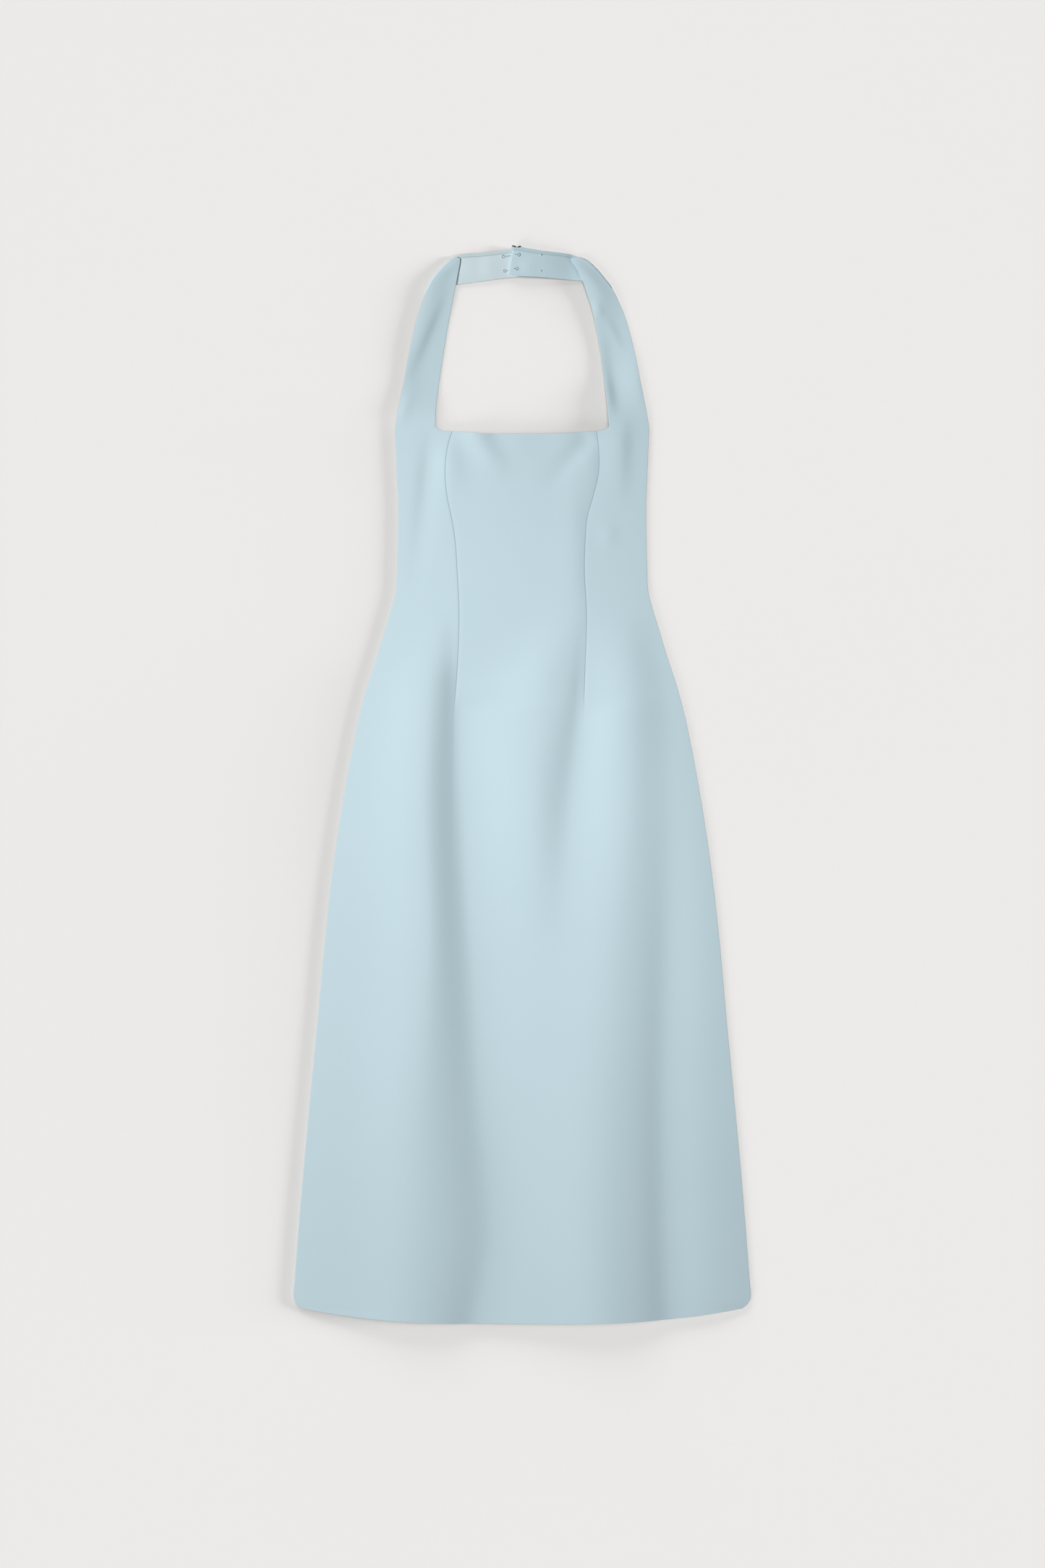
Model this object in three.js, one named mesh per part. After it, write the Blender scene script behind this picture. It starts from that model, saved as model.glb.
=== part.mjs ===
// A long halter dress laid flat on a surface, front up, in millimetres.
// +X is to the right as seen from above, +Y runs from the hem to the neck band, +Z is up.
// The origin is at the middle of the dress's box, on the surface that it lies on.
// In the tables, x is measured from the centre line and up from the lowest point of the hem.

import * as THREE from 'three';

const LENGTH = 1443.4;        // lowest point of the hem to the top of the neck band
const CLOTH = 1.5;            // wall of every cloth piece, its turned-in layers included
const SEAM = 0.3;             // gap between two layers or two pieces that are sewn together
const DART_HALF_WIDTH = 1.2;  // half the width of the groove along a dart
const DART_DEPTH = 1.0;       // how deep the stitched line of a dart lies in the wall
const ON_BACK = CLOTH + SEAM; // height of a piece that lies on one layer of cloth

// Half-width of the dress at each height, from the rounded hem corner to the underarm
const OUTLINE = [
  { up: 20, half: 296 }, { up: 25, half: 302.5 }, { up: 33, half: 306.4 }, { up: 60, half: 304.6 },
  { up: 125, half: 299.7 }, { up: 222, half: 291.5 }, { up: 319, half: 282.3 }, { up: 416, half: 273 },
  { up: 513, half: 264.3 }, { up: 610, half: 253.2 }, { up: 707, half: 238.6 }, { up: 804, half: 220.2 },
  { up: 853, half: 207.6 }, { up: 901, half: 192 }, { up: 940, half: 180.4 }, { up: 959, half: 174.6 },
  { up: 979, half: 169.3 }, { up: 1000, half: 167.6 }, { up: 1095, half: 165.9 }, { up: 1153, half: 168.3 },
  { up: 1202, half: 170.2 },
];

// How far the hem rises from its lowest point towards the sides
const HEM_RISE = { at: 255, rise: 13, power: 2.9, fadesOver: 260 };

// How far the top edge rises above the middle of the neckline, out to the strap corners
const NECKLINE_UP = 1191.5;
const NECKLINE_FADE = 100;
const NECKLINE = [
  { x: 0, rise: 0 }, { x: 50, rise: 0.2 }, { x: 91, rise: 3 }, { x: 107, rise: 4.4 },
  { x: 112, rise: 5.6 }, { x: 116.4, rise: 10 }, { x: 175, rise: 10.3 },
];

// The darts, and the lines that carry the grid on from their ends to the hem.
// corner is the line from the strap's inner corner down the side of the front.
const SEAM_LINES = [
  { up: 0, dartLeft: -97, dartRight: 92, corner: 176 },
  { up: 400, dartLeft: -95, dartRight: 88, corner: 160 },
  { up: 810, dartLeft: -91.2, dartRight: 82.4, corner: 140 },
  { up: 883, dartLeft: -86.7, dartRight: 84.3, corner: 134 },
  { up: 950, dartLeft: -84.5, dartRight: 86.2, corner: 128 },
  { up: 1005, dartLeft: -86.9, dartRight: 83.4, corner: 125 },
  { up: 1049, dartLeft: -89.8, dartRight: 84.4, corner: 123 },
  { up: 1081, dartLeft: -94.8, dartRight: 87.3, corner: 121 },
  { up: 1105, dartLeft: -100.2, dartRight: 94.3, corner: 119.5 },
  { up: 1138, dartLeft: -103.3, dartRight: 102.3, corner: 118 },
  { up: 1172, dartLeft: -99.7, dartRight: 102.2, corner: 117 },
  { up: 1202, dartLeft: -90, dartRight: 97.6, corner: 116.4 },
];
const DART_END = 810;
const DART_FADE = 45;
const PAST_DART = 120; // a fold that ends at a dart runs out level over this width beyond it

// How high the front stands off the back along the centre line. It falls to the sides as the
// distance from that line to the given power.
const FULLNESS = [
  { up: 0, rise: 10.5, power: 3 }, { up: 600, rise: 10.5, power: 3 }, { up: 850, rise: 10, power: 2.8 },
  { up: 1000, rise: 9.5, power: 2 }, { up: 1100, rise: 9, power: 2 }, { up: 1202, rise: 8.8, power: 2 },
];

// The three large folds. x is the steepest place between the crest on its left and the valley on
// its right. crest and valley are their heights, crestReach and valleyReach how far off they lie,
// and riseLeft and riseRight how far beyond them the cloth is level again.
const LEFT_FOLD = [
  { up: 0, x: -92, crest: 4.2, valley: 5, crestReach: 56, valleyReach: 32, riseLeft: 60, riseRight: 70 },
  { up: 125, x: -79, crest: 4.6, valley: 5.5, crestReach: 62, valleyReach: 40, riseLeft: 60, riseRight: 70 },
  { up: 320, x: -90, crest: 5.6, valley: 5.4, crestReach: 48, valleyReach: 34, riseLeft: 60, riseRight: 70 },
  { up: 510, x: -96, crest: 5.6, valley: 5.6, crestReach: 30, valleyReach: 29, riseLeft: 60, riseRight: 70 },
  { up: 707, x: -104, crest: 6, valley: 5.4, crestReach: 23, valleyReach: 23, riseLeft: 55, riseRight: 60 },
  { up: 853, x: -102, crest: 4, valley: 3.8, crestReach: 18, valleyReach: 15, riseLeft: 40, riseRight: 40 },
  { up: 900, x: -100, crest: 1.4, valley: 1.2, crestReach: 13, valleyReach: 12, riseLeft: 30, riseRight: 30 },
  { up: 950, x: -98, crest: 0, valley: 0, crestReach: 10, valleyReach: 10, riseLeft: 30, riseRight: 30 },
];
const DART_FOLD = [
  { up: 480, x: 33, crest: 0, valley: 0, crestReach: 30, valleyReach: 24, riseLeft: 50, riseRight: 50 },
  { up: 590, x: 37, crest: 1.2, valley: 1.2, crestReach: 26, valleyReach: 22, riseLeft: 50, riseRight: 50 },
  { up: 707, x: 45, crest: 2.6, valley: 2.6, crestReach: 24, valleyReach: 18, riseLeft: 50, riseRight: 40 },
  { up: 853, x: 68, crest: 3.1, valley: 2.4, crestReach: 28, valleyReach: 14, riseLeft: 45, riseRight: 30 },
  { up: 900, x: 74, crest: 1.8, valley: 1.2, crestReach: 21, valleyReach: 10, riseLeft: 40, riseRight: 30 },
  { up: 950, x: 78, crest: 0, valley: 0, crestReach: 16, valleyReach: 8, riseLeft: 40, riseRight: 30 },
];
const RIGHT_FOLD = [
  { up: 0, x: 176, crest: 5.2, valley: 3.2, crestReach: 54, valleyReach: 18, riseLeft: 60, riseRight: 70 },
  { up: 125, x: 170, crest: 4.6, valley: 3.2, crestReach: 50, valleyReach: 18, riseLeft: 60, riseRight: 70 },
  { up: 320, x: 168, crest: 4, valley: 2.8, crestReach: 44, valleyReach: 19, riseLeft: 60, riseRight: 60 },
  { up: 510, x: 168, crest: 3.9, valley: 2.4, crestReach: 40, valleyReach: 22, riseLeft: 55, riseRight: 45 },
  { up: 707, x: 174, crest: 3.6, valley: 0.4, crestReach: 36, valleyReach: 22, riseLeft: 50, riseRight: 30 },
  { up: 853, x: 177, crest: 3.4, valley: 0.8, crestReach: 36, valleyReach: 18, riseLeft: 45, riseRight: 24 },
  { up: 960, x: 160, crest: 0, valley: 0, crestReach: 24, valleyReach: 14, riseLeft: 40, riseRight: 20 },
];

// Sections across each strap, from the underarm to the point at the neck where it folds under.
// lift is the height of its underside, crest the height of its soft ridge, and crestAt where the
// ridge lies between the outer edge, 0, and the inner edge, 1.
const STRAP_LEFT = [
  { outerX: -170.2, outerUp: 1201.8, innerX: -116.4, innerUp: 1201.5, lift: 4, crest: 0.5, crestAt: 0.6 },
  { outerX: -164.9, outerUp: 1230.9, innerX: -115.4, innerUp: 1229, lift: 1.5, crest: 1, crestAt: 0.6 },
  { outerX: -157.1, outerUp: 1269.7, innerX: -110.6, innerUp: 1265.8, lift: 0.3, crest: 1, crestAt: 0.4 },
  { outerX: -149.4, outerUp: 1308.5, innerX: -104.8, innerUp: 1304.6, lift: 0, crest: 1.8, crestAt: 0.05 },
  { outerX: -140.7, outerUp: 1347.3, innerX: -98.9, innerUp: 1340.5, lift: 0, crest: 2.2, crestAt: 0.15 },
  { outerX: -133.9, outerUp: 1366.7, innerX: -95.1, innerUp: 1360.9, lift: 0.8, crest: 2, crestAt: 0.15 },
  { outerX: -127.1, outerUp: 1385.2, innerX: -91.7, innerUp: 1378.4, lift: 1.8, crest: 1.6, crestAt: 0.15 },
  { outerX: -119.3, outerUp: 1398.7, innerX: -88.8, innerUp: 1392, lift: 1.8, crest: 1.4, crestAt: 0.15 },
  { outerX: -109.6, outerUp: 1410.9, innerX: -86.3, innerUp: 1405.5, lift: 1.8, crest: 1.1, crestAt: 0.2 },
  { outerX: -98, outerUp: 1422.5, innerX: -83.9, innerUp: 1418.1, lift: 1.8, crest: 0.5, crestAt: 0.5 },
  { outerX: -88.3, outerUp: 1429.8, innerX: -82.9, innerUp: 1426.9, lift: 1.8, crest: 0, crestAt: 0.5 },
];
const STRAP_RIGHT = [
  { outerX: 170.2, outerUp: 1201.8, innerX: 116.4, innerUp: 1201.5, lift: 4, crest: 1, crestAt: 0.9 },
  { outerX: 164.9, outerUp: 1230.9, innerX: 114.5, innerUp: 1229, lift: 1.5, crest: 2.5, crestAt: 1 },
  { outerX: 157.1, outerUp: 1269.7, innerX: 110.1, innerUp: 1265.8, lift: 0.3, crest: 2.8, crestAt: 1 },
  { outerX: 149.4, outerUp: 1308.5, innerX: 104.3, innerUp: 1304.6, lift: 0, crest: 1.5, crestAt: 1 },
  { outerX: 138.7, outerUp: 1347.3, innerX: 98, innerUp: 1340.5, lift: 0, crest: 1, crestAt: 0.8 },
  { outerX: 130.9, outerUp: 1366.7, innerX: 92.6, innerUp: 1362.8, lift: 0.8, crest: 2, crestAt: 0.6 },
  { outerX: 122.2, outerUp: 1384.2, innerX: 87.3, innerUp: 1379.3, lift: 1.8, crest: 2.8, crestAt: 0.6 },
  { outerX: 112.5, outerUp: 1396.8, innerX: 82, innerUp: 1394.9, lift: 1.8, crest: 3, crestAt: 0.6 },
  { outerX: 100.9, outerUp: 1410.9, innerX: 75.7, innerUp: 1409.4, lift: 1.8, crest: 2.6, crestAt: 0.6 },
  { outerX: 88.3, outerUp: 1423, innerX: 69.4, innerUp: 1419.1, lift: 1.8, crest: 1.6, crestAt: 0.6 },
  { outerX: 76.6, outerUp: 1429.3, innerX: 66, innerUp: 1427.8, lift: 1.8, crest: 0, crestAt: 0.5 },
];

const STRAP_CREST_REACH = 0.4;
const STRAP_LEAVES_BODY = 2;

// Sections across each half of the neck band, from its free end to the shoulder fold
const LAP = CLOTH + SEAM + 1.1; // the right half's end lies over the left half and the hooks
const BAND_LEFT = [
  { topX: -3, topUp: 1439, lowX: -4, lowUp: 1403, lift: 0 },
  { topX: -15.5, topUp: 1439.3, lowX: -12, lowUp: 1402, lift: 0 },
  { topX: -35.9, topUp: 1436.6, lowX: -31, lowUp: 1399.8, lift: 0 },
  { topX: -57.2, topUp: 1434.6, lowX: -59.2, lowUp: 1395.8, lift: 0 },
  { topX: -79.5, topUp: 1433.2, lowX: -88.3, lowUp: 1392, lift: 0 },
  { topX: -89.2, topUp: 1427.4, lowX: -97, lowUp: 1391, lift: 0 },
  { topX: -98.9, topUp: 1420.1, lowX: -105.7, lowUp: 1390, lift: 0 },
  { topX: -109.6, topUp: 1409, lowX: -112.5, lowUp: 1389.3, lift: 0 },
  { topX: -117, topUp: 1398.5, lowX: -118.5, lowUp: 1389, lift: 0 },
];
const BAND_RIGHT = [
  { topX: -12.6, topUp: 1443.4, lowX: -18.9, lowUp: 1406.5, lift: LAP },
  { topX: -1.9, topUp: 1442.4, lowX: -5.8, lowUp: 1403.1, lift: LAP },
  { topX: 10, topUp: 1440, lowX: 6, lowUp: 1402.7, lift: LAP - 0.4 },
  { topX: 26, topUp: 1437.4, lowX: 22, lowUp: 1402, lift: 1 },
  { topX: 42.7, topUp: 1435.6, lowX: 41.7, lowUp: 1400.4, lift: 0 },
  { topX: 66, topUp: 1432.6, lowX: 66, lowUp: 1398.3, lift: 0 },
  { topX: 77, topUp: 1427.6, lowX: 79.5, lowUp: 1397.3, lift: 0 },
  { topX: 88.3, topUp: 1421, lowX: 90.2, lowUp: 1396.5, lift: 0 },
  { topX: 99.9, topUp: 1409.4, lowX: 100.9, lowUp: 1395.8, lift: 0 },
  { topX: 109, topUp: 1399, lowX: 110.6, lowUp: 1394.4, lift: 0 },
];

// The back, in two halves that meet at the centre, and the zip on its inside
const BACK_TOP = 1185;
const BACK_TOP_DIP = 12;
const BACK_TOP_FLAT = 80;
const BACK_INSET = 0.6;
const ZIP = { half: 10, thick: 0.9, bottom: 800, top: 1165, teethHalf: 1.6, teethThick: 0.9 };

// Hooks and eyes, each a flat wire ring with a shank
const HOOK = { ring: 2.2, hole: 1.1, thick: 0.8, shankHalf: 1.0 };
const HOOKS = [
  { name: 'hook_upper', x: -26, up: 1429.4, shank: 12, turn: 0.12, lift: ON_BACK },
  { name: 'hook_lower', x: -23.8, up: 1410.6, shank: 11, turn: 0.05, lift: ON_BACK },
  { name: 'eye_upper', x: -4.9, up: 1431.5, shank: 5, turn: 3.0, lift: LAP + CLOTH + SEAM },
  { name: 'eye_lower', x: -7.5, up: 1413.2, shank: 5, turn: 3.2, lift: LAP + CLOTH + SEAM },
];

// The grid of the front: cells across it and rows up it
const CELLS = { side: 6, strap: 5, groove: 2, middle: 14 };
const HEM_ROWS = [0, 8, 22];
const SKIRT_ROW = 40;
const BODICE_ROW = 27;
const BODICE_FROM = 800;
const STRAP_ROWS_PER_SECTION = 2;
const BAND_CELLS = 3;

const CLOTH_COLOUR = 0xb7d3de;
const TAPE_COLOUR = 0xa9c6d2;
const METAL_COLOUR = 0x8d9499;
const clothMaterial = () => new THREE.MeshStandardMaterial({
  color: CLOTH_COLOUR, roughness: 0.85, metalness: 0,
});
const tapeMaterial = () => new THREE.MeshStandardMaterial({
  color: TAPE_COLOUR, roughness: 0.8, metalness: 0,
});
const metalMaterial = () => new THREE.MeshStandardMaterial({
  color: METAL_COLOUR, roughness: 0.35, metalness: 0.9,
});

// A value between the rows of a table, on a smooth curve through them
function between(table, key, at, column) {
  const last = table.length - 1;
  if (at <= table[0][key]) return table[0][column];
  if (at >= table[last][key]) return table[last][column];
  const i = table.findIndex((row) => row[key] > at) - 1;
  const slope = (a, b) => (table[b][column] - table[a][column]) / (table[b][key] - table[a][key]);
  const step = table[i + 1][key] - table[i][key];
  const t = (at - table[i][key]) / step;
  const start = i > 0 ? slope(i - 1, i + 1) : slope(0, 1);
  const end = i + 1 < last ? slope(i, i + 2) : slope(last - 1, last);
  const t2 = t * t;
  const t3 = t2 * t;
  return (2 * t3 - 3 * t2 + 1) * table[i][column] + (t3 - 2 * t2 + t) * step * start
    + (3 * t2 - 2 * t3) * table[i + 1][column] + (t3 - t2) * step * end;
}

// The same for a table of sections, counted from its first row
function section(table, at) {
  const numbered = table.map((row, index) => ({ ...row, index }));
  const columns = Object.keys(table[0]);
  return Object.fromEntries(columns.map((name) => [name, between(numbered, 'index', at, name)]));
}

const bump = (distance, reach) => Math.exp(-((distance / reach) ** 2));
const ramp = (at, from, to) => THREE.MathUtils.smoothstep(at, from, to);

// What a fold adds at one point. One that meets a dart stops sinking at its stitched line.
function foldHeight(fold, x, up, dart) {
  const value = (column) => between(fold, 'up', up, column);
  let pastDart = 0;
  if (dart) {
    const beyond = Math.max(0, x - between(SEAM_LINES, 'up', up, dart));
    pastDart = beyond * ramp(up, DART_END, DART_END + DART_FADE);
  }
  const pastCrest = x - pastDart - value('x') + value('crestReach');
  const pastValley = x - pastDart - value('x') - value('valleyReach');
  const crest = value('crest') * bump(pastCrest, value(pastCrest > 0 ? 'crestReach' : 'riseLeft'));
  const valley = value('valley') * bump(pastValley, value(pastValley < 0 ? 'valleyReach' : 'riseRight'));
  return (crest - valley) * (1 - ramp(pastDart, 0, PAST_DART));
}

// Height of the front's underside above the surface
function drape(x, up) {
  const across = Math.min(1, Math.abs(x) / between(OUTLINE, 'up', up, 'half'));
  const full = between(FULLNESS, 'up', up, 'rise') * (1 - across ** between(FULLNESS, 'up', up, 'power'));
  const folds = foldHeight(LEFT_FOLD, x, up, 'dartLeft') + foldHeight(DART_FOLD, x, up, 'dartRight')
    + foldHeight(RIGHT_FOLD, x, up);
  return ON_BACK + full + folds * (1 - across ** 8);
}

// A closed wall over the cells of a grid: lower gives the underside's points, and thick the wall
// above each of them
function wall(rows, columns, hasCell, lower, thick) {
  const at = (i, j, top) => 2 * (i * (columns + 1) + j) + (top ? 1 : 0);
  const positions = [];
  for (let i = 0; i <= rows; i += 1) {
    for (let j = 0; j <= columns; j += 1) {
      const point = lower(i, j);
      positions.push(point.x, point.y, point.z, point.x, point.y, point.z + thick(i, j));
    }
  }
  const faces = [];
  const quad = (a, b, c, d) => faces.push(a, b, c, a, c, d);
  const filled = (i, j) => i >= 0 && j >= 0 && i < rows && j < columns && hasCell(i, j);
  for (let i = 0; i < rows; i += 1) {
    for (let j = 0; j < columns; j += 1) {
      if (!filled(i, j)) continue;
      quad(at(i, j, true), at(i, j + 1, true), at(i + 1, j + 1, true), at(i + 1, j, true));
      quad(at(i, j, false), at(i + 1, j, false), at(i + 1, j + 1, false), at(i, j + 1, false));
      const rims = [
        [filled(i - 1, j), [i, j], [i, j + 1]], [filled(i, j + 1), [i, j + 1], [i + 1, j + 1]],
        [filled(i + 1, j), [i + 1, j + 1], [i + 1, j]], [filled(i, j - 1), [i + 1, j], [i, j]],
      ];
      for (const [closed, from, to] of rims) {
        if (!closed) quad(at(...from, false), at(...to, false), at(...to, true), at(...from, true));
      }
    }
  }
  const geometry = new THREE.BufferGeometry();
  const used = [...new Set(faces)].sort((a, b) => a - b);
  const renumber = new Map(used.map((old, index) => [old, index]));
  geometry.setAttribute('position', new THREE.Float32BufferAttribute(
    used.flatMap((old) => positions.slice(3 * old, 3 * old + 3)), 3,
  ));
  geometry.setIndex(faces.map((old) => renumber.get(old)));
  geometry.computeVertexNormals();
  return geometry;
}

const toY = (up) => up - LENGTH / 2;

// The front: rows of points from the hem to the neckline, then up both straps
function frontGeometry() {
  const rows = [...HEM_ROWS];
  const skirtRows = Math.round((BODICE_FROM - rows.at(-1)) / SKIRT_ROW);
  const bodiceRows = Math.round((NECKLINE_UP - BODICE_FROM) / BODICE_ROW);
  const addRows = (count, from, to) => {
    for (let k = 1; k <= count; k += 1) rows.push(THREE.MathUtils.lerp(from, to, k / count));
  };
  addRows(skirtRows, rows.at(-1), BODICE_FROM);
  addRows(bodiceRows, BODICE_FROM, NECKLINE_UP);
  const neckRow = rows.length - 1;
  const strapRows = (STRAP_LEFT.length - 1) * STRAP_ROWS_PER_SECTION;

  // Points of the grid across one row, as stretches between named lines
  const stretches = [
    CELLS.side, CELLS.strap, CELLS.groove, CELLS.middle, CELLS.groove, CELLS.strap, CELLS.side,
  ];
  const columns = stretches.reduce((sum, n) => sum + n, 0);
  const dartColumns = [
    CELLS.side + CELLS.strap + CELLS.groove / 2,
    columns - CELLS.side - CELLS.strap - CELLS.groove / 2,
  ];
  const acrossRow = (up, half) => {
    const line = (name) => between(SEAM_LINES, 'up', up, name);
    const ends = [
      -half, -line('corner'), line('dartLeft') - DART_HALF_WIDTH, line('dartLeft') + DART_HALF_WIDTH,
      line('dartRight') - DART_HALF_WIDTH, line('dartRight') + DART_HALF_WIDTH, line('corner'), half,
    ];
    return stretches.flatMap((count, s) => Array.from({ length: count },
      (_, k) => ends[s] + (ends[s + 1] - ends[s]) * k / count)).concat([half]);
  };

  const bodyPoint = (i, j) => {
    const hem = (x) => HEM_RISE.rise * (Math.abs(x) / HEM_RISE.at) ** HEM_RISE.power
      * Math.max(0, 1 - rows[i] / HEM_RISE.fadesOver);
    const neck = (x) => between(NECKLINE, 'x', Math.abs(x), 'rise')
      * ramp(rows[i], NECKLINE_UP - NECKLINE_FADE, NECKLINE_UP);
    const edgeUp = rows[i] + hem(between(OUTLINE, 'up', rows[i], 'half')) + neck(OUTLINE.at(-1).half);
    const x = acrossRow(rows[i], between(OUTLINE, 'up', edgeUp, 'half'))[j];
    const up = rows[i] + hem(x) + neck(x);
    return new THREE.Vector3(x, toY(up), drape(x, up));
  };

  const strapPoint = (i, j) => {
    const onLeft = j <= CELLS.side;
    const across = onLeft ? j / CELLS.side : (columns - j) / CELLS.side;
    const along = (i - neckRow) / STRAP_ROWS_PER_SECTION;
    const strap = section(onLeft ? STRAP_LEFT : STRAP_RIGHT, along);
    const x = THREE.MathUtils.lerp(strap.outerX, strap.innerX, across);
    const up = THREE.MathUtils.lerp(strap.outerUp, strap.innerUp, across);
    const laid = Math.max(0, strap.lift) + strap.crest * bump(across - strap.crestAt, STRAP_CREST_REACH);
    const fromBody = 1 - ramp(along, 0, STRAP_LEAVES_BODY);
    return new THREE.Vector3(x, toY(up), THREE.MathUtils.lerp(laid, drape(x, OUTLINE.at(-1).up), fromBody));
  };

  const onStrap = (i, j) => i > neckRow && (j <= CELLS.side || j >= columns - CELLS.side);
  const lower = (i, j) => (onStrap(i, j) ? strapPoint(i, j) : bodyPoint(Math.min(i, neckRow), j));
  const thick = (i, j) => {
    if (i > neckRow || !dartColumns.includes(j)) return CLOTH;
    return CLOTH - DART_DEPTH * ramp(rows[i], DART_END, DART_END + DART_FADE);
  };
  const hasCell = (i, j) => i < neckRow || j < CELLS.side || j >= columns - CELLS.side;
  return wall(neckRow + strapRows, columns, hasCell, lower, thick);
}

// A half of the neck band, from sections listed from one end to the other; turned is true when
// they run towards -X
function bandGeometry(sections, turned) {
  const lower = (i, j) => {
    const cut = sections[turned ? sections.length - 1 - j : j];
    const across = i / BAND_CELLS;
    return new THREE.Vector3(THREE.MathUtils.lerp(cut.lowX, cut.topX, across),
      toY(THREE.MathUtils.lerp(cut.lowUp, cut.topUp, across)), cut.lift);
  };
  return wall(BAND_CELLS, sections.length - 1, () => true, lower, () => CLOTH);
}

// A half of the back: a flat panel under the front, open above for the bare back
function backGeometry(side) {
  const hemUp = (x) => HEM_RISE.rise * (x / HEM_RISE.at) ** HEM_RISE.power;
  const widths = OUTLINE.filter((row) => row.up <= BACK_TOP);
  const outline = new THREE.Shape();
  const hemSteps = 8;
  const start = SEAM / 2;
  const end = widths[0].half - BACK_INSET;
  for (let k = 0; k <= hemSteps; k += 1) {
    const x = start + (end - start) * k / hemSteps;
    if (k === 0) outline.moveTo(side * x, toY(hemUp(x) + BACK_INSET));
    else outline.lineTo(side * x, toY(hemUp(x) + BACK_INSET));
  }
  for (const row of widths.slice(1)) outline.lineTo(side * (row.half - BACK_INSET), toY(row.up));
  outline.lineTo(side * (between(OUTLINE, 'up', BACK_TOP, 'half') - BACK_INSET), toY(BACK_TOP));
  const middleTop = toY(BACK_TOP - BACK_TOP_DIP);
  outline.quadraticCurveTo(side * BACK_TOP_FLAT, middleTop, side * start, middleTop);
  return new THREE.ExtrudeGeometry(outline, { depth: CLOTH, bevelEnabled: false, curveSegments: 8 });
}

// The closed zip: its tape, with the covered teeth as a ridge down the middle
function zipGeometry() {
  const profile = new THREE.Shape([
    [-ZIP.half, 0], [ZIP.half, 0], [ZIP.half, ZIP.thick], [ZIP.teethHalf, ZIP.thick],
    [ZIP.teethHalf, ZIP.thick + ZIP.teethThick], [-ZIP.teethHalf, ZIP.thick + ZIP.teethThick],
    [-ZIP.teethHalf, ZIP.thick], [-ZIP.half, ZIP.thick],
  ].map(([x, z]) => new THREE.Vector2(x, z)));
  return new THREE.ExtrudeGeometry(profile, { depth: ZIP.top - ZIP.bottom, bevelEnabled: false });
}

// A hook or eye: a ring for the stitches with a shank that leaves it along +X
function hookGeometry(shank) {
  const angle = Math.asin(HOOK.shankHalf / HOOK.ring);
  const shape = new THREE.Shape();
  shape.moveTo(shank, HOOK.shankHalf);
  shape.lineTo(HOOK.ring * Math.cos(angle), HOOK.shankHalf);
  shape.absarc(0, 0, HOOK.ring, angle, 2 * Math.PI - angle, false);
  shape.lineTo(shank, -HOOK.shankHalf);
  const hole = new THREE.Path();
  hole.absarc(0, 0, HOOK.hole, 0, 2 * Math.PI, true);
  shape.holes.push(hole);
  return new THREE.ExtrudeGeometry(shape, { depth: HOOK.thick, bevelEnabled: false, curveSegments: 8 });
}

const dress = new THREE.Group();

function addPiece(name, geometry, material) {
  const mesh = new THREE.Mesh(geometry, material);
  mesh.name = name;
  dress.add(mesh);
  return mesh;
}

addPiece('front', frontGeometry(), clothMaterial());
addPiece('back_left', backGeometry(-1), clothMaterial());
addPiece('back_right', backGeometry(1), clothMaterial());
addPiece('neck_band_left', bandGeometry(BAND_LEFT, true), clothMaterial());
addPiece('neck_band_right', bandGeometry(BAND_RIGHT, false), clothMaterial());

const zip = addPiece('back_zip', zipGeometry(), tapeMaterial());
zip.rotation.x = Math.PI / 2;
zip.position.set(0, toY(ZIP.top), ON_BACK);

for (const hook of HOOKS) {
  const mesh = addPiece(hook.name, hookGeometry(hook.shank), metalMaterial());
  mesh.rotation.z = hook.turn;
  mesh.position.set(hook.x, toY(hook.up), hook.lift);
}

export default dress;
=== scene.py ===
# A long halter dress in pale blue crepe, laid flat on its back and seen from straight above.
# Lengths in the tables are millimetres, as in a pattern: x from the centre line, up from the
# lowest point of the hem, and lift from the floor. The meshes are made in metres.

import math

import bmesh
import bpy
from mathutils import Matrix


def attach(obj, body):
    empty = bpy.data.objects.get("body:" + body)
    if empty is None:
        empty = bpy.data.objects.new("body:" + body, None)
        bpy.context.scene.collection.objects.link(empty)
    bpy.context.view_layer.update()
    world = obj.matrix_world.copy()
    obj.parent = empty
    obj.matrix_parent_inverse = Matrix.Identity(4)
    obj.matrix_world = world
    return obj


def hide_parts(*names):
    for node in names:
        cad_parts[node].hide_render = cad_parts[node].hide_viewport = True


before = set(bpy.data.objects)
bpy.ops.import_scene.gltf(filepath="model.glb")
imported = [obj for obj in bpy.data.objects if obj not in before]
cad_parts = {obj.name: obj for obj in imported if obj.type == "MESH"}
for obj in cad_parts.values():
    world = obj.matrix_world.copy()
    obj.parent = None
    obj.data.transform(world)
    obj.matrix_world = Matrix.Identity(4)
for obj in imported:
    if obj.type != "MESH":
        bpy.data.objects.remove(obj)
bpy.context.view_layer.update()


# The back, in two halves
# Each half is one panel of crepe cut from the hem to under the arms, with a low curved top
# for the bare back. They are sewn together down the centre and lie flat on the floor.

MM = 0.001
LENGTH = 1443.4  # lowest point of the hem to the top of the neck band
CLOTH = 1.5  # the crepe with its turned-in layers
SEAM = 0.3  # between two layers or two pieces that are sewn together


def rows(columns, *values):
    """A short table: one dictionary for each row, with the columns' names as keys."""
    names = columns.split()
    return [dict(zip(names, row)) for row in values]


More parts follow.
